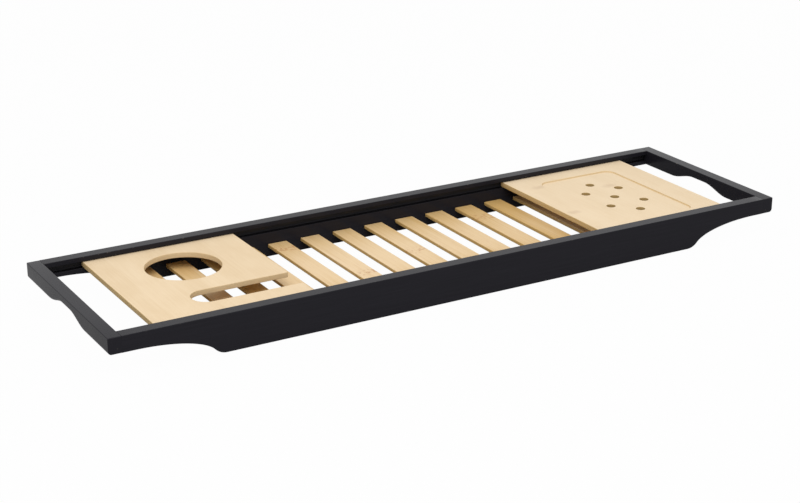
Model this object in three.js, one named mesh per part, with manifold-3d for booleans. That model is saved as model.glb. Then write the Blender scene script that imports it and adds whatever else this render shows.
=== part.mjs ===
// Bath caddy: a black frame of four rails, a bed of bamboo slats let into the two side rails,
// and two bamboo boards that slide along grooves in the side rails' inner faces.
// Millimetres, +Z up, +X along the caddy, -Y towards the bather.
// The origin is under the caddy's middle, on the plane that the side rails stand on.
import * as THREE from 'three';
import { mergeVertices } from 'three/addons/utils/BufferGeometryUtils.js';
import Module from 'manifold-3d';

const wasm = await Module();
wasm.setup();

// Frame
const frameLength = 700; // over both end rails
const frameWidth = 200; // over both side rails
const railThickness = 12;
const railDepth = 35; // side rails between the bath's rims
const endDepth = 15; // all four rails where they lie on the bath's rims
const railEdge = 0.5; // eased edges of the rails
const endCorner = 0.8; // rounded corners of the end rails, seen along the caddy
const rimEdge = 3; // round along the outer lower edge of the end rails, also through the grip

// Underside of the side rails
const rimRest = 24; // flat at each end that lies on the bath's rim
const sweepRun = 72; // quarter ellipse from the rim rest down to the full depth
const footRound = 5; // height of the round from the sweep into the flat underside

// Finger grip in the underside of the end rails
const gripWidth = 88;
const gripFlat = 18; // level middle of the grip
const gripRise = 7;

// Grooves that the boards slide in
const lipDepth = 4.4; // from the rim down to the groove
const grooveHeight = 6.3;
const grooveDepth = 5.5;

// Slats and their mortises
const slatPitch = 35.2;
const slatWidth = 20;
const slatThickness = 3.6;
const slatBase = 8.9; // from the side rails' underside up to the slats
const slatCover = 1.5; // wood left under the outermost slats by the sweep
const slatEdge = 0.8; // eased edges of the slats
const mortiseDepth = 5.5;

// Both boards
const boardWidth = 150; // along the caddy
const boardThickness = 5;
const boardPlay = 0.5; // from each end of a board to the back of its groove
const boardEdge = 0.5; // eased edges of the boards
const boardLift = 0.3; // running gap over the floor of the grooves

// Cup board: where it stands, its round hole and its slot for a glass's stem
const cupBoardInset = 36.6; // from the left end rail to the board
const cupHoleDiameter = 70;
const cupHoleOffset = 34; // behind the board's middle
const stemSlotWidth = 29;
const stemSlotLength = 100; // from the board's inner edge to the slot's round end
const stemSlotOffset = 42; // in front of the board's middle

// Soap board: where it stands, its shallow recess and its drain holes
const soapBoardInset = 34.7; // from the right end rail to the board
const recessOffset = 2.6; // recess and drain holes in front of the board's middle
const recessLength = 141; // across the caddy
const recessWidth = 90; // along the caddy
const recessDepth = 1.3;
const recessCorner = 10;
const drainDiameter = 9;
const drainStepAlong = 20.4; // lattice step along the caddy
const drainStepAcross = 21.2; // lattice step across the caddy

// Blind dowels at the frame's corners
const dowelDiameter = 4;
const dowelInEnd = 8;
const dowelInSide = 12;
const dowelEdge = 0.5; // chamfered ends of the dowels

// Fits and facets
const fitGap = 0.3; // around slats in their mortises and dowels in their holes
const overshoot = 1; // by which a cutter runs past the face that it opens
const sweepFacets = 10; // for each curve of a sweep or of the slot's end
const cornerFacets = 2; // for each small rounded corner of an outline
const roundFacets = 5; // for the rim edge and each corner of the recess
const railEdgeFacets = 2;
const boardEdgeFacets = 1;
const gripFacets = 24;
const cupHoleFacets = 48;
const smallFacets = 20; // for drain holes and dowels

// Places that follow from the sizes above
const sideLength = frameLength - 2 * railThickness;
const innerWidth = frameWidth - 2 * railThickness;
const sideMiddle = (frameWidth - railThickness) / 2;
const endMiddle = (frameLength - railThickness) / 2;
const endUnderside = railDepth - endDepth;
const sweepStart = frameLength / 2 - rimRest;
const grooveFloor = railDepth - lipDepth - grooveHeight;
const boardLength = innerWidth + 2 * (grooveDepth - boardPlay);
const boardBase = grooveFloor + boardLift;
const cupBoardPlace = -sideLength / 2 + cupBoardInset + boardWidth / 2;
const soapBoardPlace = sideLength / 2 - soapBoardInset - boardWidth / 2;
const slatLength = innerWidth + 2 * (mortiseDepth - fitGap);
const dowelPlace = (frameWidth - railThickness + grooveDepth) / 2;
const dowelHeight = railDepth - endDepth / 2;
const dowelHole = dowelDiameter / 2 + fitGap;

const blackLacquer = new THREE.MeshStandardMaterial({ color: '#2c2c2e', roughness: 0.5, metalness: 0 });
const slatBamboo = new THREE.MeshStandardMaterial({ color: '#d0b284', roughness: 0.55, metalness: 0 });
const boardBamboo = new THREE.MeshStandardMaterial({ color: '#e6d3b3', roughness: 0.5, metalness: 0 });
const dowelBeech = new THREE.MeshStandardMaterial({ color: '#cfae80', roughness: 0.7, metalness: 0 });

// A closed geometry as a solid that can be cut.
function toSolid(geometry) {
  const bare = geometry.clone();
  bare.deleteAttribute('normal');
  bare.deleteAttribute('uv');
  const merged = mergeVertices(bare);
  const vertProperties = Float32Array.from(merged.attributes.position.array);
  const triVerts = Uint32Array.from(merged.index.array);
  return new wasm.Manifold(new wasm.Mesh({ numProp: 3, vertProperties, triVerts }));
}

// The geometry of a body once every cutter has been taken out of it.
function cut(body, cutters) {
  return toGeometry(cutters.reduce((rest, cutter) => rest.subtract(toSolid(cutter)), toSolid(body)));
}

// The geometry that two bodies share.
function common(body, other) {
  return toGeometry(toSolid(body).intersect(toSolid(other)));
}

function toGeometry(solid) {
  const mesh = solid.getMesh();
  const geometry = new THREE.BufferGeometry();
  geometry.setAttribute('position', new THREE.BufferAttribute(mesh.vertProperties, 3));
  geometry.setIndex(new THREE.BufferAttribute(mesh.triVerts, 1));
  geometry.computeVertexNormals();
  return geometry;
}

// An outline given a thickness, centred on it, with both faces' edges eased inside the outline.
function slab(outline, thickness, edge, edgeFacets, curveSegments) {
  const geometry = new THREE.ExtrudeGeometry(outline, {
    depth: thickness - 2 * edge,
    bevelEnabled: edge > 0,
    bevelThickness: edge,
    bevelSize: edge,
    bevelOffset: -edge,
    bevelSegments: edgeFacets,
    curveSegments,
  });
  return geometry.translate(0, 0, edge - thickness / 2);
}

// Stands a slab up so that its outline lies in X and Z and its thickness in Y.
function standAlongX(geometry) {
  return geometry.rotateX(Math.PI / 2);
}

// Stands a slab up so that its outline lies in Y and Z and its thickness in X.
function standAlongY(geometry) {
  return geometry.rotateX(Math.PI / 2).rotateZ(Math.PI / 2);
}

function block(sizeX, sizeY, sizeZ, x, y, z) {
  return new THREE.BoxGeometry(sizeX, sizeY, sizeZ).translate(x, y, z);
}

// A cutter along X for a dowel's hole, with its middle at x and y.
function dowelCutter(depth, x, y) {
  return new THREE.CylinderGeometry(dowelHole, dowelHole, depth, smallFacets)
    .rotateZ(Math.PI / 2)
    .translate(x, y, dowelHeight);
}

// A cutter for a round hole right through a board, at x and y from the board's middle.
function boardHoleCutter(diameter, facets, x, y) {
  return new THREE.CylinderGeometry(diameter / 2, diameter / 2, boardThickness + 2 * overshoot, facets)
    .rotateX(Math.PI / 2)
    .translate(x, y, 0);
}

// A rectangle with round corners, centred on the outline's origin.
function roundedRectangle(sizeX, sizeY, corner) {
  const x = sizeX / 2 - corner;
  const y = sizeY / 2 - corner;
  const outline = new THREE.Shape();
  outline.absarc(x, y, corner, 0, Math.PI / 2);
  outline.absarc(-x, y, corner, Math.PI / 2, Math.PI);
  outline.absarc(-x, -y, corner, Math.PI, 1.5 * Math.PI);
  outline.absarc(x, -y, corner, 1.5 * Math.PI, 2 * Math.PI);
  outline.closePath();
  return outline;
}

function piece(name, geometry, material, x, y, z, turn = 0) {
  const mesh = new THREE.Mesh(geometry, material);
  mesh.name = name;
  mesh.position.set(x, y, z);
  mesh.rotation.z = turn;
  return mesh;
}

// Side view of a side rail: shallow ends, an elliptical sweep at each, and a flat underside.
function sideRailOutline() {
  const lift = Math.asin(footRound / endUnderside);
  const roundTop = sweepStart - sweepRun * Math.cos(lift);
  // The round leaves the sweep along its tangent and meets the underside at the same distance.
  const reach = (footRound * sweepRun * Math.tan(lift)) / endUnderside;
  const corner = roundTop - reach;
  const flat = corner - Math.hypot(reach, footRound);
  const outline = new THREE.Shape();
  outline.moveTo(-sideLength / 2, railDepth);
  outline.lineTo(-sideLength / 2, endUnderside);
  outline.lineTo(-sweepStart, endUnderside);
  outline.absellipse(-sweepStart, 0, sweepRun, endUnderside, Math.PI / 2, lift, true);
  outline.quadraticCurveTo(-corner, 0, -flat, 0);
  outline.lineTo(flat, 0);
  outline.quadraticCurveTo(corner, 0, roundTop, footRound);
  outline.absellipse(sweepStart, 0, sweepRun, endUnderside, Math.PI - lift, Math.PI / 2, true);
  outline.lineTo(sideLength / 2, endUnderside);
  outline.lineTo(sideLength / 2, railDepth);
  outline.closePath();
  return outline;
}

// Slat middles along the caddy, as many as the rails' full depth carries on both sides of the middle.
function slatPlaces() {
  const height = (slatBase - slatCover) / endUnderside;
  const bedHalf = sweepStart - sweepRun * Math.sqrt(1 - height * height);
  const perSide = Math.floor((bedHalf - slatWidth / 2 - fitGap) / slatPitch);
  return Array.from({ length: 2 * perSide + 1 }, (_, i) => (i - perSide) * slatPitch);
}

// The front side rail around its own middle, with its inner face towards +Y.
function sideRail() {
  const body = standAlongX(slab(sideRailOutline(), railThickness, railEdge, railEdgeFacets, sweepFacets));
  const innerFace = railThickness / 2;
  const groove = block(
    sideLength + 2 * overshoot, grooveDepth + overshoot, grooveHeight,
    0, innerFace + (overshoot - grooveDepth) / 2, grooveFloor + grooveHeight / 2,
  );
  const mortises = slatPlaces().map((x) => block(
    slatWidth + 2 * fitGap, mortiseDepth + overshoot, slatThickness + 2 * fitGap,
    x, innerFace + (overshoot - mortiseDepth) / 2, slatBase + slatThickness / 2,
  ));
  const holeDepth = dowelInSide + fitGap + overshoot;
  const holeMiddle = sideLength / 2 + overshoot - holeDepth / 2;
  const dowelHoles = [-1, 1].map(
    (side) => dowelCutter(holeDepth, side * holeMiddle, sideMiddle - dowelPlace),
  );
  return cut(body, [groove, ...mortises, ...dowelHoles]);
}

// Takes an outline along an end rail's grip, which rises to its level middle along half a cosine wave.
function traceGrip(outline) {
  const flatHalf = gripFlat / 2;
  const ramp = gripWidth / 2 - flatHalf;
  for (let i = 0; i <= gripFacets; i += 1) {
    const y = (i / gripFacets - 0.5) * gripWidth;
    const along = Math.max(Math.abs(y) - flatHalf, 0) / ramp;
    outline.lineTo(y, endUnderside + (gripRise * (1 + Math.cos(Math.PI * along))) / 2);
  }
}

// End view of an end rail.
function endRailOutline() {
  const half = frameWidth / 2;
  const outline = new THREE.Shape();
  outline.absarc(-half + endCorner, railDepth - endCorner, endCorner, Math.PI / 2, Math.PI);
  outline.absarc(-half + endCorner, endUnderside + endCorner, endCorner, Math.PI, 1.5 * Math.PI);
  traceGrip(outline);
  outline.absarc(half - endCorner, endUnderside + endCorner, endCorner, 1.5 * Math.PI, 2 * Math.PI);
  outline.absarc(half - endCorner, railDepth - endCorner, endCorner, 0, Math.PI / 2);
  outline.closePath();
  return outline;
}

// A block larger than the left end rail all round, but with its outer face and its underside, grip and all.
// The edge between these two is rounded, because the rail lies on the bath's rim there.
function rimEdgeBlock() {
  const spare = 2 * rimEdge;
  const half = frameWidth / 2 + spare;
  const outline = new THREE.Shape();
  outline.moveTo(-half, railDepth + spare);
  outline.lineTo(-half, endUnderside);
  traceGrip(outline);
  outline.lineTo(half, endUnderside);
  outline.lineTo(half, railDepth + spare);
  outline.closePath();
  const body = standAlongY(slab(outline, railThickness + spare, rimEdge, roundFacets, 1));
  return body.translate(spare / 2, 0, 0);
}

// The left end rail around its own middle, with its inner face towards +X.
function endRail() {
  const body = standAlongY(slab(endRailOutline(), railThickness, railEdge, railEdgeFacets, cornerFacets));
  const holeDepth = dowelInEnd + fitGap + overshoot;
  const holeMiddle = railThickness / 2 + overshoot - holeDepth / 2;
  const dowelHoles = [-1, 1].map((side) => dowelCutter(holeDepth, holeMiddle, side * dowelPlace));
  return cut(common(body, rimEdgeBlock()), dowelHoles);
}

// A slat around its own middle, lying across the caddy.
function slat() {
  const section = roundedRectangle(slatWidth, slatThickness, slatEdge);
  return standAlongX(slab(section, slatLength, 0, 0, cornerFacets));
}

// The cup board around its own middle: a round hole behind, a slot open to the caddy's middle in front.
function cupBoard() {
  const x = boardWidth / 2;
  const y = boardLength / 2;
  const slotHalf = stemSlotWidth / 2;
  const slotRound = x - stemSlotLength + slotHalf;
  const outline = new THREE.Shape();
  outline.moveTo(-x, -y);
  outline.lineTo(x, -y);
  outline.lineTo(x, -stemSlotOffset - slotHalf);
  outline.lineTo(slotRound, -stemSlotOffset - slotHalf);
  outline.absarc(slotRound, -stemSlotOffset, slotHalf, 1.5 * Math.PI, Math.PI / 2, true);
  outline.lineTo(x, -stemSlotOffset + slotHalf);
  outline.lineTo(x, y);
  outline.lineTo(-x, y);
  outline.closePath();
  const body = slab(outline, boardThickness, boardEdge, boardEdgeFacets, sweepFacets);
  return cut(body, [boardHoleCutter(cupHoleDiameter, cupHoleFacets, 0, cupHoleOffset)]);
}

// Drain hole middles from the recess's middle: one hole, four around it and one at each end of the lattice.
function drainPlaces() {
  const around = [-1, 1].flatMap((i) => [-1, 1].map((j) => [i * drainStepAlong, j * drainStepAcross]));
  const ends = [-2, 2].map((j) => [0, j * drainStepAcross]);
  return [[0, 0], ...around, ...ends];
}

// The soap board around its own middle: a shallow recess with drain holes through its floor.
function soapBoard() {
  const outline = new THREE.Shape();
  outline.moveTo(-boardWidth / 2, -boardLength / 2);
  outline.lineTo(boardWidth / 2, -boardLength / 2);
  outline.lineTo(boardWidth / 2, boardLength / 2);
  outline.lineTo(-boardWidth / 2, boardLength / 2);
  outline.closePath();
  const body = slab(outline, boardThickness, boardEdge, boardEdgeFacets, sweepFacets);
  const recessHeight = recessDepth + overshoot;
  const recessOutline = roundedRectangle(recessWidth, recessLength, recessCorner);
  const recess = slab(recessOutline, recessHeight, 0, 0, roundFacets)
    .translate(0, -recessOffset, boardThickness / 2 + overshoot - recessHeight / 2);
  const drains = drainPlaces().map(
    ([x, y]) => boardHoleCutter(drainDiameter, smallFacets, x, y - recessOffset),
  );
  return cut(body, [recess, ...drains]);
}

// A dowel along the caddy, around the plane where the end rail meets the side rail.
function dowel() {
  const radius = dowelDiameter / 2;
  const profile = [
    new THREE.Vector2(0, -dowelInSide),
    new THREE.Vector2(radius - dowelEdge, -dowelInSide),
    new THREE.Vector2(radius, -dowelInSide + dowelEdge),
    new THREE.Vector2(radius, dowelInEnd - dowelEdge),
    new THREE.Vector2(radius - dowelEdge, dowelInEnd),
    new THREE.Vector2(0, dowelInEnd),
  ];
  return new THREE.LatheGeometry(profile, smallFacets).rotateZ(-Math.PI / 2);
}

const caddy = new THREE.Group();

const sideRailShape = sideRail();
caddy.add(piece('side_rail_front', sideRailShape, blackLacquer, 0, -sideMiddle, 0));
caddy.add(piece('side_rail_rear', sideRailShape, blackLacquer, 0, sideMiddle, 0, Math.PI));

const endRailShape = endRail();
caddy.add(piece('end_rail_left', endRailShape, blackLacquer, -endMiddle, 0, 0));
caddy.add(piece('end_rail_right', endRailShape, blackLacquer, endMiddle, 0, 0, Math.PI));

const slatShape = slat();
slatPlaces().forEach((x, i) => {
  const name = `slat_${String(i + 1).padStart(2, '0')}`;
  caddy.add(piece(name, slatShape, slatBamboo, x, 0, slatBase + slatThickness / 2));
});

const boardMiddle = boardBase + boardThickness / 2;
caddy.add(piece('cup_board', cupBoard(), boardBamboo, cupBoardPlace, 0, boardMiddle));
caddy.add(piece('soap_board', soapBoard(), boardBamboo, soapBoardPlace, 0, boardMiddle));

const dowelShape = dowel();
[['front', -1], ['rear', 1]].forEach(([sideName, side]) => {
  const x = sideLength / 2;
  const y = side * dowelPlace;
  caddy.add(piece(`dowel_${sideName}_left`, dowelShape, dowelBeech, -x, y, dowelHeight, Math.PI));
  caddy.add(piece(`dowel_${sideName}_right`, dowelShape, dowelBeech, x, y, dowelHeight));
});

export default caddy;
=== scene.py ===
"""Looks of a bath caddy: a black lacquered frame, bamboo slats and two sliding bamboo boards.

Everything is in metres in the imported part's frame: X along the caddy, -Y towards the bather, Z up.
"""

import math

import bmesh
import bpy
import numpy as np
from bpy.props import FloatProperty, FloatVectorProperty, PointerProperty
from mathutils import Matrix, Vector


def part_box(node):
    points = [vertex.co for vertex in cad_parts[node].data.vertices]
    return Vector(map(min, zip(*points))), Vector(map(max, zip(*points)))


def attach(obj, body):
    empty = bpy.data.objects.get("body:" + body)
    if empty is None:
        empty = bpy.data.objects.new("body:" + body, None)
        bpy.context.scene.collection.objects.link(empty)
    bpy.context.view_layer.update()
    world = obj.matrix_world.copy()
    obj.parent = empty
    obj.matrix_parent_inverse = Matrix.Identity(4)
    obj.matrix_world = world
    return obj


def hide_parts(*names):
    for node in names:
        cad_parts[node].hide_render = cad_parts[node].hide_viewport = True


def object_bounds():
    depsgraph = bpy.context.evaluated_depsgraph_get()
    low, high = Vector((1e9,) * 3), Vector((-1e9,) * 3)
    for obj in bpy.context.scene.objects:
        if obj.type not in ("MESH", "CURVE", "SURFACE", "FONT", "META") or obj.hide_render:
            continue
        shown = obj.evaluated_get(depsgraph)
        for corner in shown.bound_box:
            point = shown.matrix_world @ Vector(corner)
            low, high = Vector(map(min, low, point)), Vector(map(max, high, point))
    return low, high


bl_info = {
    "name": "Bath Caddy",
    "version": (1, 0, 0),
    "blender": (4, 5, 0),
    "location": "View3D > Sidebar > Caddy",
    "description": "Builds the lacquered frame, the slats and the sliding boards of a bath caddy",
    "category": "Object",
}

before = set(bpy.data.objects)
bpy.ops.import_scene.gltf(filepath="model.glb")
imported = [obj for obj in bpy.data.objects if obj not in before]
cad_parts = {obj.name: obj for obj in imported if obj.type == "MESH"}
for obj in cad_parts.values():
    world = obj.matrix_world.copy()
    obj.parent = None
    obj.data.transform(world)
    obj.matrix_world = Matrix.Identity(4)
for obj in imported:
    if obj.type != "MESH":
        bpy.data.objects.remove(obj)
CAD_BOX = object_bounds()

MM = 0.001
HALF_LENGTH, HALF_WIDTH, RIM = CAD_BOX[1]
END_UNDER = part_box("end_rail_left")[0].z  # underside of the shallow ends
SLAT_NODES = sorted(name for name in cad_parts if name.startswith("slat_"))
DOWEL_NODES = sorted(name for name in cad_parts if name.startswith("dowel_"))

# Places of the speckled marks seen in the photograph, in millimetres from each slat's middle
SEEN_MARKS = {"slat_05": 69, "slat_06": -23, "slat_07": -92, "slat_08": 2, "slat_09": -75, "slat_10": -80,
              "slat_11": 51, "slat_12": -85}
# Tones of the slats seen in the photograph, from pale to golden. Those of slat_02 and slat_03, seen under the
# cup board, are raised as painted shade of the board.
SEEN_TONES_AND_SHADE = {"slat_02": 0.25, "slat_03": 0.75, "slat_05": 0.12, "slat_06": 0.04, "slat_07": 0.06,
              "slat_08": 0.1, "slat_09": 0.14, "slat_10": 0.18, "slat_11": 0.26, "slat_12": 0.42}
# Tones and places of marks for the other slats are drawn at random, up to these
TONE_SPREAD = 0.25
MARK_SPREAD = 80  # millimetres to each side of the middle
SLAT_SEED = 9
# Places of the soft marks seen on the soap board, in millimetres along and across the caddy
BOARD_MARKS = [(176, 57), (162, -24), (244, 29)]
# Drain holes, in steps along and across the caddy from the middle one
DRAIN_PATTERN = [(0, 0), (0, -2), (0, 2), (-1, -1), (-1, 1), (1, -1), (1, 1)]

# Cells of the finishes' noise in millimetres: along and across for a rail's fibre, X, Y and Z for the rest
RAIL_FIBRE = (60, 0.7)
RAIL_CLOUD = (70, 40, 25)
RAIL_PEEL = (1.6, 1.6, 1.6)
RAIL_SPECK = (5, 5, 5)
SLAT_FIBRE = (0.8, 70, 3)
SLAT_STRIP = (5, 400, 5)
SLAT_PORE = (0.5, 16, 1)
MARK_WANDER = (9, 9, 9)
MARK_SPECKLE = (3, 4, 2)
BOARD_FIBRE = (0.9, 60, 3)
BOARD_CLOUD = (22, 45, 20)
BOARD_LAYERS = (30, 30, 0.9)
KNOT_RAGGED = (5, 9, 9)
DOWEL_FIBRE = (9, 0.4, 0.4)
# Roughness where the fibres' noise is at the lower and at the upper end of its range
FIBRE_RANGE = (0.2, 0.8)
BAMBOO_ROUGHNESS = (0.55, 0.7)
DOWEL_ROUGHNESS = (0.6, 0.78)
BAMBOO_GLOSS = 0.15

ARC_STEPS = 5  # segments of each eased edge
SUPPORT = 0.3 * MM  # flat strip beside each eased edge, to keep faces flat when shaded
FACE_ROWS = 2  # rows at each end of a board's edge band that lie on its faces
FLAT_STEPS = 40  # stations from a side rail's middle to the end of its flat underside
SWEEP_STEPS = 48
ROUND_STEPS = 14
GRIP_STEPS = 36  # stations from the middle of a finger grip to its edge
SLAT_STEPS = 9  # stations from one eased end of a slat to the other
HOLE_STEPS = 96
DRAIN_STEPS = 40
SHARP_ANGLE = math.radians(40)
WELD = 1e-6
# the walls of the drain holes, marked by this value, are painted darker as the shade inside them
DRILLED = 2.0  # attribute side on a drilled wall
SENSOR = 36  # millimetres
FLOOR_REACH = 12.0  # metres from the middle
VIEW_REACH = 100.0  # metres from the camera


def linear(red, green, blue):
    """Linear colour of an 8-bit screen colour, by the usual formula for screens."""
    level = np.array([red, green, blue]) / 255
    return tuple(np.where(level <= 0.04045, level / 12.92, ((level + 0.055) / 1.055) ** 2.4))


def size(name, description, millimetres):
    """A length property with its default in millimetres."""
    return FloatProperty(
        name=name, description=description, default=millimetres * MM, min=0, unit="LENGTH", precision=4)


def colour(name, description, *screen):
    """A colour property with its default as an 8-bit screen colour."""
    return FloatVectorProperty(
        name=name, description=description, default=linear(*screen), size=3, min=0, max=1, subtype="COLOR")


def share(name, description, default, top=1.0):
    """A plain number property from 0 to top."""
    return FloatProperty(
        name=name, description=description, default=default, min=0, max=top, subtype="FACTOR")


class CaddyRailSettings(bpy.types.PropertyGroup):
    """Sizes and colours of the lacquered rails"""

    edge: size("Eased Edge", "Radius of the rails' long edges", 0.5)
    end_easing: size("End Easing", "Radius at the side rails' ends, seen as a fine line at each joint", 0.08)
    end_corner: size("End Corner", "Radius at the ends of the end rails", 0.8)
    rim_edge: size("Rim Edge", "Radius along the outer lower edge of an end rail", 3)
    rim_rest: size("Rim Rest", "Flat under each end that lies on the bath's rim", 24)
    sweep_run: size("Sweep Run", "Length of the elliptical sweep under each end", 72)
    foot_round: size("Foot Round", "Height of the round from the sweep into the flat underside", 5)
    grip_width: size("Grip Width", "Width of the finger grip under an end rail", 88)
    grip_flat: size("Grip Flat", "Level middle of the finger grip", 18)
    grip_rise: size("Grip Rise", "Height of the finger grip under an end rail", 7)
    lip_depth: size("Lip Depth", "From the rim down to the groove", 4.4)
    groove_height: size("Groove Height", "Height of the groove that the boards slide in", 6.3)
    groove_depth: size("Groove Depth", "Depth of the groove that the boards slide in", 5.5)
    groove_edge: size("Groove Edge", "Radius of the groove's edges", 0.3)
    lacquer: colour("Lacquer", "Colour of the black lacquer", 31, 30, 35)
    # painted light: a lighter colour for the groove's back wall, standing in for light that reaches into the
    # groove; the lacquer there is the same
    groove_back_painted_light: colour("Routed", "Colour of the thinner lacquer at the back of the groove", 47, 46, 49)
    # painted shade: a darker colour for the groove's floor, standing in for the shade of the lip above it
    groove_floor_painted_shade: colour("Rubbed", "Colour of the groove's floor, rubbed dark by the boards", 14, 13, 15)
    undercoat: colour("Undercoat", "Colour that shows where edges are worn", 120, 114, 106)
    thinning: share("Thinning", "Brightness of the lacquer along the fibres", 1.25, top=2.0)
    satin: share("Satin", "Roughness where the lacquer is smoothest", 0.16)
    dull: share("Dull", "Roughness where the lacquer is dullest", 0.26)
    gloss: share("Gloss", "Specular level of the lacquer", 0.1)
    grain: size("Grain", "Height of the fibres under the lacquer", 0.03)


class CaddySlatSettings(bpy.types.PropertyGroup):
    """Sizes and colours of the slats"""

    edge: size("Eased Edge", "Radius of the slats' long edges", 0.8)
    end_easing: size("End Easing", "Radius at the slats' ends", 0.4)
    mortise_gap: size("Mortise Gap", "Room around a slat's end in its mortise", 0.3)
    side_tone: share("Side Tone", "How much more golden the slats' long sides are", 0.6)
    culm: colour("Culm", "Main colour of the slats", 240, 214, 176)
    fibre: colour("Fibre", "Colour of the fibres and of the darker slats", 208, 170, 106)
    grain: size("Grain", "Height of the slats' fibres", 0.05)
    # partly painted shade: the golden darkening towards a slat's ends stands for the rails' shade there, as
    # well as the bamboo's own tone
    end_tone_and_shade: share("End Tone", "How much more golden a slat is at its ends", 0.36)
    tone_start: size("Tone Start", "From a slat's middle to where it starts to turn golden", 5)
    tone_stop: size("Tone Stop", "From a slat's middle to where it is as golden as at its ends", 92)
    node_mark: colour("Node Mark", "Colour of the speckled marks across a slat", 168, 92, 44)
    mark_strength: share("Mark Strength", "Share of the mark's colour in a speckled mark", 0.5)
    mark_core: size("Mark Core", "From a mark's middle to where its specks thin out", 2)
    mark_edge: size("Mark Edge", "From a mark's middle to where its specks end", 11)
    mark_wander: size("Mark Wander", "Width over which a mark wanders along its slat", 12)
    pore_strength: share("Pore Strength", "Share of the mark's colour in a pore", 0.3)


class CaddyBoardSettings(bpy.types.PropertyGroup):
    """Sizes and colours of the boards"""

    edge: size("Eased Edge", "Radius of the boards' edges", 0.5)
    corner: size("Corner", "Radius of the boards' corners in plan", 1.2)
    cup_hole: size("Cup Hole", "Diameter of the round hole in the cup board", 70)
    cup_offset: size("Cup Offset", "Round hole behind the cup board's middle", 34)
    slot_width: size("Slot Width", "Width of the stem slot", 29)
    slot_length: size("Slot Length", "Stem slot from the board's inner edge to its round end", 100)
    slot_offset: size("Slot Offset", "Stem slot in front of the cup board's middle", 42)
    recess_offset: size("Recess Offset", "Soap recess and drain holes in front of the board's middle", 2.6)
    recess_length: size("Recess Length", "Soap recess across the caddy", 141)
    recess_width: size("Recess Width", "Soap recess along the caddy", 90)
    recess_depth: size("Recess Depth", "Depth of the soap recess", 1.3)
    recess_corner: size("Recess Corner", "Radius of the soap recess in plan", 10)
    recess_fillet: size("Recess Fillet", "Radius from the recess's wall into its floor", 0.7)
    drain: size("Drain Hole", "Diameter of the drain holes", 9)
    drain_edge: size("Drain Edge", "Radius of the drain holes' edges", 0.2)
    drain_along: size("Drain Step Along", "Step of the drain holes along the caddy", 20.4)
    drain_across: size("Drain Step Across", "Step of the drain holes across the caddy", 21.2)
    opening_cut: share("Opening Cut", "Share of the cut edges' colour on the walls of hole and slot", 0.45)
    recess_cut: share("Recess Cut", "Share of the cut edges' colour on the wall of the soap recess", 0.65)
    cup_tone: share("Cup Board Tone", "How much darker the cup board's face is than the soap board's", 0.2)
    face: colour("Face", "Colour of the boards' faces", 240, 218, 185)
    streak: colour("Streak", "Colour of the boards' darker strips", 224, 198, 160)
    side: colour("Side", "Colour of the boards' cut edges", 201, 170, 114)
    # painted shade: the walls are plain wood, and this darker colour stands in for the shade inside the small
    # holes
    drain_wall_painted_shade: colour("Drilled", "Colour of the drain holes' burnished walls", 188, 158, 106)
    grain: size("Grain", "Height of the boards' fibres", 0.03)
    strip: size("Strip", "Width of the glued strips along the caddy", 18.75)
    knot: colour("Knot", "Colour of the faint marks on the boards", 190, 160, 130)
    knot_strength: share("Knot Strength", "Share of that colour in a mark's middle", 0.3)
    knot_along: size("Knot Along", "Reach of a mark along the caddy", 11.1)
    knot_across: size("Knot Across", "Reach of a mark across the caddy", 7.7)


class CaddyDowelSettings(bpy.types.PropertyGroup):
    """Colours of the hidden corner dowels"""

    beech: colour("Beech", "Main colour of the dowels", 214, 180, 134)
    fibre: colour("Fibre", "Colour of the dowels' fibres", 184, 142, 94)
    grain: size("Grain", "Height of the dowels' fibres", 0.04)


class CaddyStageSettings(bpy.types.PropertyGroup):
    """Camera, floor and light"""

    azimuth: FloatProperty(
        name="Azimuth", description="Camera turned from straight in front", default=math.radians(-29.998),
        subtype="ANGLE")
    elevation: FloatProperty(
        name="Elevation", description="Camera above the horizon", default=math.radians(20.53),
        subtype="ANGLE")
    roll: FloatProperty(
        name="Roll", description="Camera turned about its own axis", default=math.radians(-0.126),
        subtype="ANGLE")
    lens: FloatProperty(
        name="Lens", description="Focal length in millimetres on the sensor's width", default=77.8)
    distance: size("Distance", "Camera from the middle of the caddy's rim", 1635.5)
    aside: FloatProperty(
        name="Aside", description="Camera moved sideways", default=-17.5 * MM, unit="LENGTH", precision=4)
    aloft: FloatProperty(
        name="Aloft", description="Camera moved up along its own up", default=-21.9 * MM, unit="LENGTH",
        precision=4)
    floor: colour("Floor", "Colour of the floor", 190, 190, 190)
    floor_glow: share("Floor Glow", "Share of the seen floor that is plain white", 0.98)
    floor_gloss: share("Floor Gloss", "Share of that white which gloss on the caddy shows", 0.22)
    sky: share("Sky", "Strength of the light from all around", 0.62)
    softbox: FloatProperty(
        name="Softbox", description="Power of the large lamp above", default=16, unit="POWER")
    softbox_width: size("Softbox Width", "Size of the large lamp along its X", 1600)
    softbox_depth: size("Softbox Depth", "Size of the large lamp along its Y", 1200)
    softbox_place: FloatVectorProperty(
        name="Softbox Place", description="Middle of the large lamp", default=(-0.4, -0.8, 1.35),
        unit="LENGTH")


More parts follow.
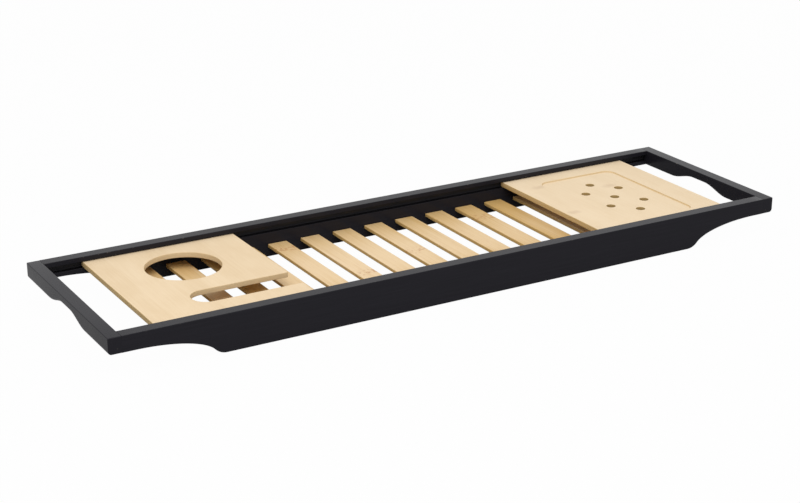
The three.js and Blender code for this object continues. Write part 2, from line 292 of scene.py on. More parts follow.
class Nodes:
    """A node tree, with short ways to add nodes and arithmetic."""

    def __init__(self, tree):
        self.tree = tree

    def add(self, kind, settings=None, inputs=None):
        """A new node with its settings made and its inputs fed with numbers or other nodes' outputs."""
        node = self.tree.nodes.new(kind)
        for key, value in (settings or {}).items():
            setattr(node, key, value)
        for key, value in (inputs or {}).items():
            self.feed(node.inputs[key], value)
        return node

    def feed(self, socket, value):
        """Links a node's output to the socket, or sets the socket to a number or colour."""
        if isinstance(value, bpy.types.NodeSocket):
            self.tree.links.new(value, socket)
        else:
            socket.default_value = value

    def math(self, operation, first, second=0.0):
        return self.add("ShaderNodeMath", {"operation": operation}, {0: first, 1: second}).outputs[0]

    def seen(self, gloss=1.0):
        """1 for rays of the camera and of glass, gloss for those of gloss, and 0 for light on things."""
        rays = self.add("ShaderNodeLightPath").outputs
        shine = self.math("MULTIPLY", rays["Is Glossy Ray"], gloss)
        direct = self.math("MAXIMUM", rays["Is Camera Ray"], rays["Is Transmission Ray"])
        return self.math("MAXIMUM", direct, shine)


class Finish(Nodes):
    """A material's node tree, with short ways to add noise and colour mixing."""

    def __init__(self, name):
        self.material = bpy.data.materials.new(name)
        self.material.use_nodes = True
        super().__init__(self.material.node_tree)
        self.shader = self.tree.nodes["Principled BSDF"]
        self.place = self.add("ShaderNodeTexCoord").outputs["Object"]
        axes = self.add("ShaderNodeSeparateXYZ", inputs={0: self.place})
        self.x, self.y, _ = axes.outputs

    def noise(self, cell, detail=3.0, roughness=0.55, shift=0.0):
        """Noise from 0 to 1 in cells of the given millimetres along X, Y and Z."""
        scale = [1 / (c * MM) for c in cell]
        spot = self.add("ShaderNodeMapping", inputs={
            "Vector": self.place, "Scale": scale, "Location": (shift, shift, shift)})
        grain = self.add("ShaderNodeTexNoise", inputs={
            "Vector": spot.outputs[0], "Scale": 1.0, "Detail": detail, "Roughness": roughness})
        return grain.outputs[0]

    def chance(self, value):
        """A random number from 0 to 1 for each whole number in value."""
        return self.add("ShaderNodeTexWhiteNoise", {"noise_dimensions": "1D"}, {"W": value}).outputs["Value"]

    def sum(self, first, first_share, second, second_share):
        """Two values added, each by its share."""
        part = self.math("MULTIPLY", second, second_share)
        return self.add("ShaderNodeMath", {"operation": "MULTIPLY_ADD"}, {
            0: first, 1: first_share, 2: part}).outputs[0]

    def vector(self, operation, first, second=(0, 0, 0)):
        return self.add("ShaderNodeVectorMath", {"operation": operation}, {0: first, 1: second})

    def band(self, value, low, high, out_low=0.0, out_high=1.0):
        """A smooth step: out_low where value is below low, out_high where it is above high."""
        return self.add("ShaderNodeMapRange", {"interpolation_type": "SMOOTHSTEP"}, {
            "Value": value, "From Min": low, "From Max": high, "To Min": out_low, "To Max": out_high,
        }).outputs[0]

    def mix(self, factor, first, second):
        """Two colours mixed by a factor from 0 to 1."""
        node = self.add("ShaderNodeMix", {"data_type": "RGBA"})
        for index, value in ((0, factor), (6, first), (7, second)):
            self.feed(node.inputs[index], value if not isinstance(value, tuple) else (*value, 1.0))
        return node.outputs[2]

    def bump(self, height, relief):
        """A bump whose height from 0 to 1 stands for the given relief."""
        return self.add("ShaderNodeBump", inputs={
            "Strength": 1.0, "Distance": relief, "Height": height}).outputs[0]

    def attribute(self, name):
        return self.add("ShaderNodeAttribute", {"attribute_name": name}).outputs["Fac"]

    def set(self, **sockets):
        """Feeds the shader's own sockets, named with underscores for spaces."""
        for name, value in sockets.items():
            socket = self.shader.inputs[name.replace("_", " ")]
            self.feed(socket, value if not isinstance(value, tuple) else (*value, 1.0))


def lacquer_finish(name, rails, lengthwise):
    """Satin black lacquer over bamboo: fibres show through along the rail, and edges are worn in specks.

    The attribute edge is 1 on an eased edge. Two more attributes mark the groove's back, painted a lighter
    colour as light that reaches into the groove, and its floor, painted a darker colour as the shade of the
    lip above it.
    """
    finish = Finish(name)
    along, across = RAIL_FIBRE
    cell = (along, across, across) if lengthwise == "X" else (across, along, across)
    fibre = finish.noise(cell, detail=4)
    cloud = finish.noise(RAIL_CLOUD, shift=7)
    orange_peel = finish.noise(RAIL_PEEL, detail=2, shift=3)
    speck = finish.noise(RAIL_SPECK, detail=6, roughness=0.7, shift=11)
    worn = finish.math("MULTIPLY", finish.attribute("edge"), finish.band(speck, low=0.62, high=0.72))
    thin = tuple(c * rails.thinning for c in rails.lacquer)
    body = finish.mix(finish.band(fibre, low=0.3, high=0.75), tuple(rails.lacquer), thin)
    # painted light on the groove's back wall and painted shade on its floor
    body = finish.mix(finish.attribute("groove_back_painted_light"), body, tuple(rails.groove_back_painted_light))
    body = finish.mix(finish.attribute("groove_floor_painted_shade"), body, tuple(rails.groove_floor_painted_shade))
    relief = finish.sum(fibre, 0.7, orange_peel, 0.3)
    finish.set(
        Base_Color=finish.mix(worn, body, tuple(rails.undercoat)),
        Roughness=finish.band(cloud, low=0.25, high=0.8, out_low=rails.satin, out_high=rails.dull),
        Specular_IOR_Level=rails.gloss,
        Normal=finish.bump(relief, rails.grain),
    )
    return finish.material


def slat_finish(slats):
    """Tan bamboo: fibres along each slat, more golden and darker towards its ends, partly by the bamboo's own
    tone and partly as painted shade of the rails, with a speckled mark across it.

    The attribute tone is how golden a slat is, with painted shade of the cup board in the tones of slat_02
    and slat_03, and mark the place of its mark along Y.
    """
    finish = Finish("slat_bamboo_finish")
    fibre = finish.noise(SLAT_FIBRE, detail=5, roughness=0.6)
    strip = finish.noise(SLAT_STRIP, detail=1, shift=5)
    outwards = finish.math("ABSOLUTE", finish.y)
    # partly painted shade of the rails near a slat's ends, partly the bamboo's own tone
    ends = finish.band(outwards, slats.tone_start, slats.tone_stop, out_low=0.0, out_high=slats.end_tone_and_shade)
    shade = finish.math("ADD", finish.sum(fibre, 0.7, strip, 0.3), finish.attribute("tone"))
    shade = finish.math("ADD", shade, ends)
    wood = finish.mix(finish.band(shade, low=0.35, high=1.3), tuple(slats.culm), tuple(slats.fibre))
    wander = finish.math("SUBTRACT", finish.noise(MARK_WANDER, shift=2), 0.5)
    wander = finish.math("MULTIPLY", wander, slats.mark_wander)
    distance = finish.math("SUBTRACT", finish.y, finish.attribute("mark"))
    distance = finish.math("ABSOLUTE", finish.math("ADD", distance, wander))
    near = finish.band(distance, slats.mark_core, slats.mark_edge, out_low=slats.mark_strength, out_high=0.0)
    speckle = finish.noise(MARK_SPECKLE, detail=5, roughness=0.6, shift=9)
    mark = finish.math("MULTIPLY", near, finish.band(speckle, low=0.46, high=0.64))
    pore = finish.noise(SLAT_PORE, detail=2, shift=21)
    pore = finish.band(pore, low=0.64, high=0.76, out_low=0.0, out_high=slats.pore_strength)
    finish.set(
        Base_Color=finish.mix(finish.math("MAXIMUM", mark, pore), wood, tuple(slats.node_mark)),
        Roughness=finish.band(fibre, *FIBRE_RANGE, *BAMBOO_ROUGHNESS),
        Specular_IOR_Level=BAMBOO_GLOSS,
        Normal=finish.bump(fibre, slats.grain),
    )
    return finish.material


def board_finish(boards, name, tone, marks):
    """Pale bamboo board: faint strips and fibres across the caddy, soft marks, and golden cut edges.

    The attribute side is 0 on a face, 1 on a cut edge and DRILLED on a drain hole's wall, which is painted
    darker as the shade inside the small hole. A larger tone is darker.
    """
    finish = Finish(name)
    strip = finish.chance(finish.math("FLOOR", finish.math("DIVIDE", finish.x, boards.strip)))
    fibre = finish.noise(BOARD_FIBRE, detail=5, roughness=0.6)
    cloud = finish.noise(BOARD_CLOUD, shift=4)
    shade = finish.sum(fibre, 0.5, strip, 0.12)
    shade = finish.math("ADD", finish.sum(shade, 1.0, cloud, 0.4), tone)
    wood = finish.mix(finish.band(shade, low=0.35, high=1.05), tuple(boards.face), tuple(boards.streak))
    ragged = finish.noise(KNOT_RAGGED, detail=4, roughness=0.6, shift=13)
    flatten = (1 / boards.knot_along, 1 / boards.knot_across, 0)
    for x, y in marks:
        away = finish.vector("SUBTRACT", finish.place, (x * MM, y * MM, 0)).outputs[0]
        oval = finish.vector("MULTIPLY", away, flatten).outputs[0]
        reach = finish.math("ADD", finish.vector("LENGTH", oval).outputs["Value"], ragged)
        soft = finish.band(reach, low=0.6, high=1.5, out_low=boards.knot_strength, out_high=0.0)
        wood = finish.mix(soft, wood, tuple(boards.knot))
    layers = finish.band(finish.noise(BOARD_LAYERS, shift=17), low=0.35, high=0.7, out_low=0.0, out_high=0.5)
    edge = finish.mix(layers, tuple(boards.side), tuple(boards.streak))
    side = finish.attribute("side")
    # painted shade on the drain holes' walls
    edge = finish.mix(finish.band(side, 1.0, DRILLED), edge, tuple(boards.drain_wall_painted_shade))
    finish.set(
        Base_Color=finish.mix(finish.math("MINIMUM", side, 1.0), wood, edge),
        Roughness=finish.band(fibre, *FIBRE_RANGE, *BAMBOO_ROUGHNESS),
        Specular_IOR_Level=BAMBOO_GLOSS,
        Normal=finish.bump(fibre, boards.grain),
    )
    return finish.material


def dowel_finish(dowels):
    """Bare beech with short fibres along the dowel."""
    finish = Finish("dowel_wood_finish")
    fibre = finish.noise(DOWEL_FIBRE, detail=4)
    finish.set(
        Base_Color=finish.mix(fibre, tuple(dowels.beech), tuple(dowels.fibre)),
        Roughness=finish.band(fibre, *FIBRE_RANGE, *DOWEL_ROUGHNESS),
        Normal=finish.bump(fibre, dowels.grain),
    )
    return finish.material


def eased_section(pairs, headings, radii):
    """A closed section with every right-angled corner turned into a quarter arc.

    pairs holds each corner's two coordinates, with a value for every station, headings its outgoing
    direction and radii its radius. With a the incoming and b the outgoing direction, the arc is
    corner + a r (sin t - 1) + b r (1 - cos t) for t from 0 to a quarter turn. One more point before and
    after it gives the flat side a narrow strip of its own.
    Returns the points, (stations, corners * steps, 2), and for each of them whether it is on an arc.
    """
    corners = np.stack([np.stack(pair, axis=-1) for pair in pairs], axis=1)
    out = np.array(headings, float)[:, None]
    into = np.roll(out, 1, axis=0)
    radius = np.array(radii)[None, :, None, None]
    turn = np.linspace(0, math.pi / 2, ARC_STEPS + 1)[:, None]
    arc = into * (np.sin(turn) - 1) + out * (1 - np.cos(turn))
    strip = np.where(radius > 0, radius + SUPPORT, 0)
    points = corners[:, :, None] + np.concatenate([-into * strip, arc * radius, out * strip], axis=2)
    on_arc = np.zeros(points.shape[1:3])
    on_arc[:, 1:-1] = radius[0, :, 0] > 0
    return points.reshape(len(corners), -1, 2), on_arc.ravel()


def eased_rectangle(left, right, under, top, radii):
    """The eased section of a rectangle with a left, right, lower and upper side for each station."""
    pairs = ((left, under), (right, under), (right, top), (left, top))
    return eased_section(pairs, [(1, 0), (0, 1), (-1, 0), (0, -1)], radii)


def end_inset(place, half, radius):
    """How far a section is taken in at each place, along a quarter circle at both ends."""
    past = np.clip(np.abs(place) - half + radius, 0, radius)
    return radius - np.sqrt(np.clip(radius**2 - past**2, 0, None))


def carried_along_y(section, y):
    """Points of a section of X and Z at each station along Y."""
    stations = np.broadcast_to(y[:, None], section.shape[:2])
    return np.stack([section[..., 0], stations, section[..., 1]], axis=-1)


def loft_faces(stations, around):
    """Quads of a closed tube of stations, and one face at each end."""
    first = np.arange(stations - 1)[:, None] * around
    here = np.arange(around)[None]
    there = (here + 1) % around
    quads = np.stack([first + here, first + there, first + around + there, first + around + here], axis=-1)
    ends = [list(range(around)), list(range((stations - 1) * around, stations * around))]
    return quads.reshape(-1, 4).tolist() + ends


def band_faces(rows, columns, start):
    """Quads of a band of rows that closes round its columns, with its first point numbered start."""
    first = start + np.arange(rows - 1)[:, None] * columns
    here = np.arange(columns)[None]
    there = (here + 1) % columns
    quads = np.stack([first + here, first + columns + here, first + columns + there, first + there], axis=-1)
    return quads.reshape(-1, 4).tolist()


def make_piece(name, points, faces, attributes, material, body, nodes, fills=()):
    """A finished mesh object in place of CAD nodes: welded, filled, facing outwards and smoothly shaded.

    fills holds, for each flat face, the loops of point numbers that bound it.
    """
    mesh = bpy.data.meshes.new(name)
    mesh.from_pydata(points.tolist(), [], faces)
    for key, values in attributes.items():
        layer = mesh.attributes.new(key, "FLOAT", "POINT")
        layer.data.foreach_set("value", np.asarray(values, np.float32))
    work = bmesh.new()
    work.from_mesh(mesh)
    work.verts.ensure_lookup_table()
    for loops in fills:
        pairs = [pair for loop in loops for pair in zip(loop, np.roll(loop, -1))]
        edges = [work.edges.get((work.verts[a], work.verts[b])) for a, b in pairs]
        bmesh.ops.triangle_fill(work, use_beauty=True, edges=edges)
    bmesh.ops.remove_doubles(work, verts=work.verts, dist=WELD)
    bmesh.ops.dissolve_degenerate(work, edges=work.edges, dist=WELD)
    bmesh.ops.recalc_face_normals(work, faces=work.faces)
    work.to_mesh(mesh)
    work.free()
    mesh.shade_smooth()
    mesh.set_sharp_from_angle(angle=SHARP_ANGLE)
    mesh.materials.append(material)
    piece = bpy.data.objects.new(name, mesh)
    bpy.context.scene.collection.objects.link(piece)
    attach(piece, body)
    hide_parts(*nodes)


def make_loft(name, node, points, attributes, material):
    """A closed tube of sections, (stations, around, 3), as a piece of the frame in place of a CAD node."""
    shape = points.shape[:2]
    values = {key: np.broadcast_to(value, shape).ravel() for key, value in attributes.items()}
    make_piece(name, points.reshape(-1, 3), loft_faces(*shape), values, material, "frame", [node])


def rail_turns(rails):
    """Distances from the middle to the sweep's start, and to its round's start, corner and end.

    The corner is where the sweep's tangent meets the plane of the flat underside.
    """
    start = HALF_LENGTH - rails.rim_rest
    lift = math.asin(rails.foot_round / END_UNDER)
    top = start - rails.sweep_run * math.cos(lift)
    run = rails.foot_round * rails.sweep_run * math.tan(lift) / END_UNDER
    corner = top - run
    return start, top, corner, corner - math.hypot(run, rails.foot_round)


def rail_underside(x, rails):
    """Height of a side rail's underside at each x.

    It is level on the rim rest, then a quarter ellipse, END_UNDER * sqrt(1 - (d / run)^2) with d the
    distance from the rim rest, then a quadratic curve along its tangent into the flat underside.
    """
    start, top, corner, flat = rail_turns(rails)
    reach = np.abs(x)
    along = np.clip((start - reach) / rails.sweep_run, 0, 1)
    sweep = END_UNDER * np.sqrt(1 - along**2)
    # The curve's x is top (1-t)^2 + 2 corner t (1-t) + flat t^2, solved for t.
    bend, slope = top - 2 * corner + flat, 2 * (corner - top)
    inside = np.clip(reach, flat, top)
    t = (-slope - np.sqrt(slope**2 - 4 * bend * (top - inside))) / (2 * bend)
    turn = rails.foot_round * (1 - t) ** 2
    height = np.where(reach >= top, sweep, turn)
    return np.where(reach <= flat, 0.0, height)


def rail_stations(rails, half, starts, stops):
    """Places along X of a side rail's sections, and whether each lies in a mortise.

    They are close together on the sweep and its round. A mortise begins and ends with two stations at one
    place, one with its depth and one without.
    """
    sweep_start, sweep_top, _, flat = rail_turns(rails)
    angle = np.linspace(math.pi / 2, math.asin(rails.foot_round / END_UNDER), SWEEP_STEPS)
    sweep = sweep_start - rails.sweep_run * np.cos(angle)
    eased = half - rails.end_easing * (1 - np.sin(np.linspace(0, math.pi / 2, ARC_STEPS + 1)))
    positive = np.concatenate([
        np.linspace(0, flat, FLAT_STEPS)[1:], np.linspace(flat, sweep_top, ROUND_STEPS)[1:-1], sweep, eased])
    plain = np.concatenate([-positive, [0.0], positive])
    within = ((plain[:, None] > starts) & (plain[:, None] < stops)).any(axis=1)
    no, yes = np.zeros_like(starts), np.ones_like(starts)
    x = np.concatenate([plain, starts, starts, stops, stops])
    cut = np.concatenate([within, no, yes, yes, no])
    second = np.concatenate([np.zeros_like(plain), no, yes, no, yes])
    order = np.lexsort((second, x))
    return x[order], cut[order] > 0


def side_rail(name, side, rails, slats, material):
    """A side rail: its section, with the groove and the mortises, carried along X.

    The section runs round the outer face, the underside, the inner face with its mortise and groove, and the
    rim. Its coordinates are the distance from the outer face and the height.
    """
    low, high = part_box(name)
    thick, depth, half = high.y - low.y, high.z - low.z, high.x
    boxes = [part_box(node) for node in SLAT_NODES]
    gap = slats.mortise_gap
    starts = np.array([b[0].x - gap for b in boxes])
    stops = np.array([b[1].x + gap for b in boxes])
    x, cut = rail_stations(rails, half, starts, stops)
    inset = end_inset(x, half, rails.end_easing)
    under = rail_underside(x, rails) + inset
    rim, face = depth - inset, thick - inset
    clear = under + rails.edge + SUPPORT + WELD
    mortise_low = np.maximum(boxes[0][0].z - gap, clear)
    mortise_high = np.maximum(boxes[0][1].z + gap, clear + WELD)
    mortise_back = HALF_WIDTH - max(b[1].y for b in boxes) - gap
    back = np.where(cut, mortise_back, face)
    groove_high = np.full_like(x, depth - rails.lip_depth)
    groove_low = groove_high - rails.groove_height
    groove_back = np.full_like(x, thick - rails.groove_depth)
    pairs = (
        (inset, under), (face, under),
        (face, mortise_low), (back, mortise_low), (back, mortise_high), (face, mortise_high),
        (face, groove_low), (groove_back, groove_low), (groove_back, groove_high), (face, groove_high),
        (face, rim), (inset, rim))
    inwards, up, outwards, down = (1, 0), (0, 1), (-1, 0), (0, -1)
    notch = [outwards, up, inwards, up]
    headings = [inwards, up, *notch, *notch, outwards, down]
    edge, fine = rails.edge, rails.groove_edge
    radii = [edge, edge, 0, 0, 0, 0, fine, fine, fine, fine, edge, edge]
    section, on_arc = eased_section(pairs, headings, radii)
    y = side * (HALF_WIDTH - section[..., 0])
    points = np.stack([np.broadcast_to(x[:, None], y.shape), y, section[..., 1]], axis=-1)
    attributes = {
        "edge": on_arc * (np.repeat(radii, len(on_arc) // len(radii)) == edge),
        # the groove's back wall, for its painted light, and its floor, for its painted shade
        "groove_back_painted_light": np.abs(section[..., 0] - groove_back[:, None]) < WELD,
        "groove_floor_painted_shade": np.abs(section[..., 1] - groove_low[:, None]) < WELD,
    }
    make_loft(f"{name}_lacquered", name, points, attributes, material)


def end_rail(name, rails, material):
    """An end rail: an eased rectangle carried along Y.

    Its underside rises by rise (1 + cos(pi a)) / 2, where a goes from 0 at the edge of the level middle to 1
    at the grip's edge. Its ends are rounded by taking the section in along a quarter circle, but not on the
    inner side, where it lies flush on the side rails. Its outer lower edge has a larger radius.
    """
    low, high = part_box(name)
    half, corner = high.y, rails.end_corner
    turn = np.linspace(0, math.pi / 2, 2 * ARC_STEPS + 1)
    grip = np.linspace(0, rails.grip_width / 2, GRIP_STEPS + 1)
    positive = np.concatenate([grip[1:], half - corner + corner * np.sin(turn)])
    y = np.concatenate([-positive[::-1], [0.0], positive])
    inset = end_inset(y, half, corner)
    ramp = (rails.grip_width - rails.grip_flat) / 2
    along = np.clip((np.abs(y) - rails.grip_flat / 2) / ramp, 0, 1)
    under = low.z + inset + rails.grip_rise * (1 + np.cos(math.pi * along)) / 2
    rim = high.z - inset
    narrow = inset * rails.edge / corner
    at_left = low.x < 0
    left = low.x + narrow * at_left
    right = high.x - narrow * (not at_left)
    radii = [rails.edge] * 4
    radii[0 if at_left else 1] = rails.rim_edge
    section, on_arc = eased_rectangle(left, right, under, rim, radii)
    rounded = np.abs(y) - half + corner > 0
    attributes = {"edge": np.maximum(on_arc[None], rounded[:, None])}
    points = carried_along_y(section, y)
    make_loft(f"{name}_lacquered", name, points, attributes, material)


def slat(name, slats, tone, mark, material):
    """A slat: an eased rectangle carried along Y and taken in a little at both ends."""
    low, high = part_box(name)
    ease = slats.end_easing
    turn = np.linspace(0, math.pi / 2, ARC_STEPS + 1)
    positive = high.y - ease + ease * np.sin(turn)
    y = np.concatenate([-positive[::-1], np.linspace(-positive[0], positive[0], SLAT_STEPS)[1:-1], positive])
    inset = end_inset(y, high.y, ease)
    left, right, under, top = low.x + inset, high.x - inset, low.z + inset, high.z - inset
    section, _ = eased_rectangle(left, right, under, top, [slats.edge] * 4)
    inside = np.minimum(section[..., 1] - under[:, None], top[:, None] - section[..., 1])
    attributes = {"tone": tone + slats.side_tone * np.clip(inside / slats.edge, 0, 1), "mark": mark * MM}
    make_loft(f"{name}_bamboo", name, carried_along_y(section, y), attributes, material)


def arc_outline(arcs, steps):
    """A closed outline through arcs, each (middle x, middle y, radius, first angle, last angle) in turns.

    Anticlockwise arcs are corners of the material, with normals away from their middles. Clockwise arcs
    are bays or holes, with normals towards them. Straight sides join the arcs.
    Returns points and normals, both (arcs * steps, 2).
    """
    middle_x, middle_y, radius, first, last = np.array(arcs, float).T[:, :, None]
    angle = 2 * math.pi * (first + (last - first) * np.linspace(0, 1, steps)[None])
    spoke = np.stack([np.cos(angle), np.sin(angle)], axis=-1)
    points = np.stack([middle_x, middle_y], axis=-1) + radius[..., None] * spoke
    normals = spoke * np.sign(last - first)[..., None]
    return points.reshape(-1, 2), normals.reshape(-1, 2)


def circle_outline(x, y, diameter, steps):
    """A round hole as one clockwise arc that stops a step before it closes."""
    return arc_outline([(x, y, diameter / 2, 1, 1 / steps)], steps)


def rectangle_arcs(x, y, size_x, size_y, corner):
    """Anticlockwise corner arcs of a rectangle with its middle at x and y."""
    dx, dy = size_x / 2 - corner, size_y / 2 - corner
    return [
        (x + dx, y + dy, corner, 0, 0.25), (x - dx, y + dy, corner, 0.25, 0.5),
        (x - dx, y - dy, corner, 0.5, 0.75), (x + dx, y - dy, corner, 0.75, 1)]


def wall_profile(top, bottom, radius):
    """Inset and height down a wall that is eased at its top and bottom, with its strips."""
    turn = np.linspace(0, math.pi / 2, ARC_STEPS + 1)
    inset = radius * (1 - np.sin(turn))
    drop = radius * (1 - np.cos(turn))
    upper = np.stack([inset, top - drop], axis=-1)
    lower = np.stack([inset, bottom + drop], axis=-1)[::-1]
    strip = radius + SUPPORT
    return np.concatenate([[(strip, top)], upper, lower, [(strip, bottom)]])


def recess_profile(top, floor, radius, fillet):
    """Inset and height down a recess's wall: eased at the top and filleted into the floor."""
    turn = np.linspace(0, math.pi / 2, ARC_STEPS + 1)
    upper = np.stack([radius * (1 - np.sin(turn)), top - radius * (1 - np.cos(turn))], axis=-1)
    lower = np.stack([fillet * (np.cos(turn) - 1), floor + fillet * (1 - np.sin(turn))], axis=-1)
    return np.concatenate([[(radius + SUPPORT, top)], upper, lower, [(-fillet - SUPPORT, floor)]])


class Plate:
    """A flat board as edge bands carried round its outlines, with the flat faces filled between them."""

    def __init__(self):
        self.points, self.faces, self.side, self.count = [], [], [], 0

    def band(self, outline, profile, cut=1.0):
        """Adds a band, point - normal * inset at each height; returns its first and last loop's numbers.

        cut is the share of the cut edge's colour on its wall, for all columns or for each, or DRILLED.
        """
        place, normal = outline
        flat = place[None] - normal[None] * profile[:, None, :1]
        height = np.broadcast_to(profile[:, None, 1:], flat.shape[:2] + (1,))
        rows, columns = flat.shape[:2]
        self.points.append(np.concatenate([flat, height], axis=-1).reshape(-1, 3))
        self.faces += band_faces(rows, columns, self.count)
        wall = np.zeros(rows)
        wall[FACE_ROWS:-FACE_ROWS] = 1
        self.side.append((wall[:, None] * np.broadcast_to(cut, columns)).ravel())
        loop = np.arange(columns) + self.count
        self.count += rows * columns
        return loop.tolist(), (loop + (rows - 1) * columns).tolist()

    def piece(self, name, fills, material, body):
        make_piece(
            f"{name}_bamboo", np.concatenate(self.points), self.faces, {"side": np.concatenate(self.side)},
            material, body, [name], fills)


def board_middle(node):
    """Middle in plan, size in plan, and bottom and top of a board."""
    low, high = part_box(node)
    return (low.x + high.x) / 2, (low.y + high.y) / 2, high.x - low.x, high.y - low.y, low.z, high.z


class CADDY_OT_side_rails(bpy.types.Operator):
    """Builds the lacquered side rails with their grooves and mortises"""

    bl_idname = "caddy.side_rails"
    bl_label = "Side Rails"

    def execute(self, context):
        rails, slats = context.scene.caddy_rails, context.scene.caddy_slats
        material = lacquer_finish("side_rail_lacquer", rails, "X")
        side_rail("side_rail_front", -1, rails, slats, material)
        side_rail("side_rail_rear", 1, rails, slats, material)
        return {"FINISHED"}


class CADDY_OT_end_rails(bpy.types.Operator):
    """Builds the lacquered end rails with their finger grips"""

    bl_idname = "caddy.end_rails"
    bl_label = "End Rails"

    def execute(self, context):
        rails = context.scene.caddy_rails
        material = lacquer_finish("end_rail_lacquer", rails, "Y")
        for name in ("end_rail_left", "end_rail_right"):
            end_rail(name, rails, material)
        return {"FINISHED"}


class CADDY_OT_slats(bpy.types.Operator):
    """Builds the bamboo slats"""

    bl_idname = "caddy.slats"
    bl_label = "Slats"

    def execute(self, context):
        slats = context.scene.caddy_slats
        material = slat_finish(slats)
        dice = np.random.default_rng(SLAT_SEED)
        count = len(SLAT_NODES)
        # slat_02 and slat_03 carry painted shade of the cup board in their tones
        tones_and_shade = dict(zip(SLAT_NODES, dice.uniform(0, TONE_SPREAD, count))) | SEEN_TONES_AND_SHADE
        marks = dict(zip(SLAT_NODES, dice.uniform(-MARK_SPREAD, MARK_SPREAD, count))) | SEEN_MARKS
        for name in SLAT_NODES:
            slat(name, slats, tones_and_shade[name], marks[name], material)
        return {"FINISHED"}


class CADDY_OT_cup_board(bpy.types.Operator):
    """Builds the sliding board with the round hole and the stem slot"""

    bl_idname = "caddy.cup_board"
    bl_label = "Cup Board"

    def execute(self, context):
        boards = context.scene.caddy_boards
        x, y, size_x, size_y, bottom, top = board_middle("cup_board")
        back_right, back_left, front_left, front_right = rectangle_arcs(x, y, size_x, size_y, boards.corner)
        slot_half, slot_y = boards.slot_width / 2, y - boards.slot_offset
        slot_x = x + size_x / 2 - boards.slot_length + slot_half
        mouth_x = x + size_x / 2 - boards.corner
        mouth_front = (mouth_x, slot_y - slot_half - boards.corner, boards.corner, 0, 0.25)
        slot_end = (slot_x, slot_y, slot_half, 0.75, 0.25)
        mouth_back = (mouth_x, slot_y + slot_half + boards.corner, boards.corner, 0.75, 1)
        edge = wall_profile(top, bottom, boards.edge)
        outline = [front_left, front_right, mouth_front, slot_end, mouth_back, back_right, back_left]
        plate = Plate()
        steps = HOLE_STEPS // 4
        slot = (mouth_front, slot_end, mouth_back)
        cut = np.repeat([boards.opening_cut if arc in slot else 1.0 for arc in outline], steps)
        outer = plate.band(arc_outline(outline, steps), edge, cut)
        circle = circle_outline(x, y + boards.cup_offset, boards.cup_hole, HOLE_STEPS)
        hole = plate.band(circle, edge, boards.opening_cut)
        fills = [(outer[0], hole[0]), (outer[1], hole[1])]
        material = board_finish(boards, "cup_board_bamboo_finish", boards.cup_tone, [])
        plate.piece("cup_board", fills, material, "cup_board")
        return {"FINISHED"}


class CADDY_OT_soap_board(bpy.types.Operator):
    """Builds the sliding board with the soap recess and its drain holes"""

    bl_idname = "caddy.soap_board"
    bl_label = "Soap Board"

    def execute(self, context):
        boards = context.scene.caddy_boards
        x, y, size_x, size_y, bottom, top = board_middle("soap_board")
        floor = top - boards.recess_depth
        middle = y - boards.recess_offset
        plate = Plate()
        outline = arc_outline(rectangle_arcs(x, y, size_x, size_y, boards.corner), ARC_STEPS + 1)
        outer = plate.band(outline, wall_profile(top, bottom, boards.edge))
        corners = rectangle_arcs(x, middle, boards.recess_width, boards.recess_length, boards.recess_corner)
        clockwise = [(*arc[:3], arc[4], arc[3]) for arc in reversed(corners)]
        step_down = recess_profile(top, floor, boards.edge, boards.recess_fillet)
        recess = plate.band(arc_outline(clockwise, 2 * ARC_STEPS), step_down, boards.recess_cut)
        wall = wall_profile(floor, bottom, boards.drain_edge)
        places = [(x + i * boards.drain_along, middle + j * boards.drain_across) for i, j in DRAIN_PATTERN]
        circles = [circle_outline(*place, boards.drain, DRAIN_STEPS) for place in places]
        drains = [plate.band(circle, wall, DRILLED) for circle in circles]
        fills = [
            (outer[0], recess[0]),
            (recess[1], *(drain[0] for drain in drains)),
            (outer[1], *(drain[1] for drain in drains))]
        material = board_finish(boards, "soap_board_bamboo_finish", 0.0, BOARD_MARKS)
        plate.piece("soap_board", fills, material, "soap_board")
        return {"FINISHED"}


class CADDY_OT_dowels(bpy.types.Operator):
    """Gives the hidden corner dowels their bare wood"""

    bl_idname = "caddy.dowels"
    bl_label = "Corner Dowels"

    def execute(self, context):
        material = dowel_finish(context.scene.caddy_dowels)
        for name in DOWEL_NODES:
            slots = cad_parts[name].data.materials
            slots.clear()
            slots.append(material)
        return {"FINISHED"}


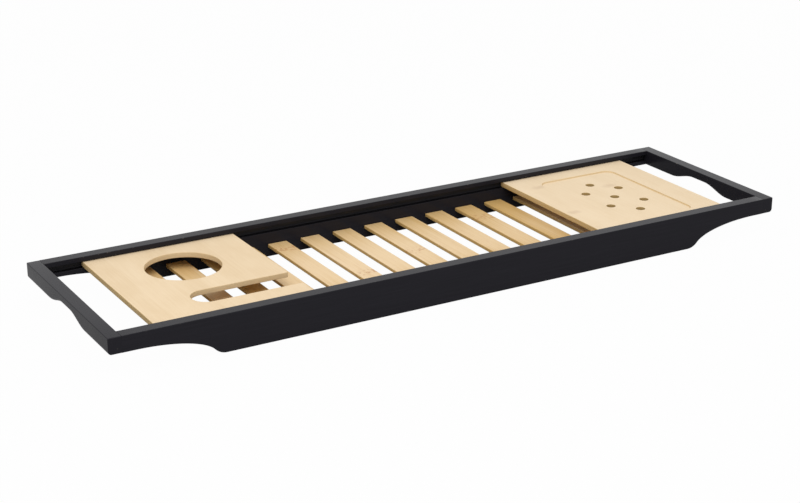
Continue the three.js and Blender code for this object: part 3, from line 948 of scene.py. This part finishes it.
class CADDY_OT_stage(bpy.types.Operator):
    """Sets the floor, the light and the camera"""

    bl_idname = "caddy.stage"
    bl_label = "Stage"

    def execute(self, context):
        scene, stage = context.scene, context.scene.caddy_stage
        self.floor(scene, stage)
        self.light(scene, stage)
        self.camera(scene, stage)
        scene.view_settings.view_transform = "Standard"
        return {"FINISHED"}

    def floor(self, scene, stage):
        """A wide flat grid whose seen colour is mostly plain white, with the caddy's shadow in the rest.

        It is clear from below, so that the caddy's underside can be looked at.
        """
        line = np.linspace(-FLOOR_REACH, FLOOR_REACH, 3)
        x, y = np.meshgrid(line, line)
        points = np.stack([x, y, np.zeros_like(x)], axis=-1).reshape(-1, 3)
        faces = [[0, 1, 4, 3], [1, 2, 5, 4], [3, 4, 7, 6], [4, 5, 8, 7]]
        mesh = bpy.data.meshes.new("floor")
        mesh.from_pydata(points.tolist(), [], faces)
        finish = Finish("floor_paper")
        finish.set(Base_Color=tuple(stage.floor), Roughness=0.9, Specular_IOR_Level=0.0)
        white = finish.math("MULTIPLY", finish.seen(stage.floor_gloss), stage.floor_glow)
        glow = finish.add("ShaderNodeEmission", inputs={"Strength": 1.0})
        above = finish.add("ShaderNodeMixShader", inputs={
            0: white, 1: finish.shader.outputs[0], 2: glow.outputs[0]})
        below = finish.add("ShaderNodeNewGeometry").outputs["Backfacing"]
        clear = finish.add("ShaderNodeBsdfTransparent")
        surface = finish.add("ShaderNodeMixShader", inputs={
            0: below, 1: above.outputs[0], 2: clear.outputs[0]})
        finish.feed(finish.tree.nodes["Material Output"].inputs["Surface"], surface.outputs[0])
        mesh.materials.append(finish.material)
        floor = bpy.data.objects.new("floor", mesh)
        scene.collection.objects.link(floor)

    def light(self, scene, stage):
        """A white surround that is dimmer as light than it looks, and one large lamp above the caddy."""
        world = bpy.data.worlds.new("studio")
        world.use_nodes = True
        scene.world = world
        nodes = Nodes(world.node_tree)
        level = nodes.add("ShaderNodeMapRange", inputs={"Value": nodes.seen(), "To Min": stage.sky})
        background = nodes.tree.nodes["Background"]
        nodes.feed(background.inputs["Color"], (1, 1, 1, 1))
        nodes.feed(background.inputs["Strength"], level.outputs[0])
        lamp = bpy.data.lights.new("softbox", "AREA")
        lamp.shape = "RECTANGLE"
        lamp.size, lamp.size_y = stage.softbox_width, stage.softbox_depth
        lamp.energy = stage.softbox
        softbox = bpy.data.objects.new("softbox", lamp)
        place = Vector(stage.softbox_place)
        softbox.location = place
        softbox.rotation_euler = place.to_track_quat("Z", "Y").to_euler()
        scene.collection.objects.link(softbox)

    def camera(self, scene, stage):
        """The camera looks at the middle of the rim from the stage's azimuth and elevation."""
        az, el = stage.azimuth, stage.elevation
        back = np.array([math.sin(az) * math.cos(el), -math.cos(az) * math.cos(el), math.sin(el)])
        level = np.array([math.cos(az), math.sin(az), 0.0])
        upright = np.cross(back, level)
        right = level * math.cos(stage.roll) + upright * math.sin(stage.roll)
        up = upright * math.cos(stage.roll) - level * math.sin(stage.roll)
        target = np.array([0, 0, RIM])
        place = target + back * stage.distance + right * stage.aside + up * stage.aloft
        lens = bpy.data.cameras.new("camera")
        lens.sensor_fit = "HORIZONTAL"
        lens.sensor_width = SENSOR
        lens.lens = stage.lens
        lens.clip_end = VIEW_REACH
        camera = bpy.data.objects.new("camera", lens)
        turned = np.vstack([np.column_stack([right, up, back, place]), [0, 0, 0, 1]])
        camera.matrix_world = Matrix(turned.tolist())
        scene.collection.objects.link(camera)
        scene.camera = camera


STEPS = (
    CADDY_OT_side_rails, CADDY_OT_end_rails, CADDY_OT_slats, CADDY_OT_cup_board, CADDY_OT_soap_board,
    CADDY_OT_dowels, CADDY_OT_stage)
SETTINGS = {
    "caddy_rails": CaddyRailSettings,
    "caddy_slats": CaddySlatSettings,
    "caddy_boards": CaddyBoardSettings,
    "caddy_dowels": CaddyDowelSettings,
    "caddy_stage": CaddyStageSettings,
}


class CADDY_PT_panel(bpy.types.Panel):
    """Lists the caddy's steps and settings"""

    bl_idname = "CADDY_PT_panel"
    bl_label = "Bath Caddy"
    bl_space_type = "VIEW_3D"
    bl_region_type = "UI"
    bl_category = "Caddy"

    def draw(self, context):
        for step in STEPS:
            self.layout.operator(step.bl_idname)
        for group, settings in SETTINGS.items():
            box = self.layout.box()
            for name in settings.__annotations__:
                box.prop(getattr(context.scene, group), name)


CLASSES = (*SETTINGS.values(), *STEPS, CADDY_PT_panel)


def register():
    for entry in CLASSES:
        bpy.utils.register_class(entry)
    for group, settings in SETTINGS.items():
        setattr(bpy.types.Scene, group, PointerProperty(type=settings))


def unregister():
    for group in SETTINGS:
        delattr(bpy.types.Scene, group)
    for entry in reversed(CLASSES):
        bpy.utils.unregister_class(entry)


def main():
    register()
    bpy.ops.caddy.side_rails()
    bpy.ops.caddy.end_rails()
    bpy.ops.caddy.slats()
    bpy.ops.caddy.cup_board()
    bpy.ops.caddy.soap_board()
    bpy.ops.caddy.dowels()
    bpy.ops.caddy.stage()


if __name__ == "__main__":
    main()
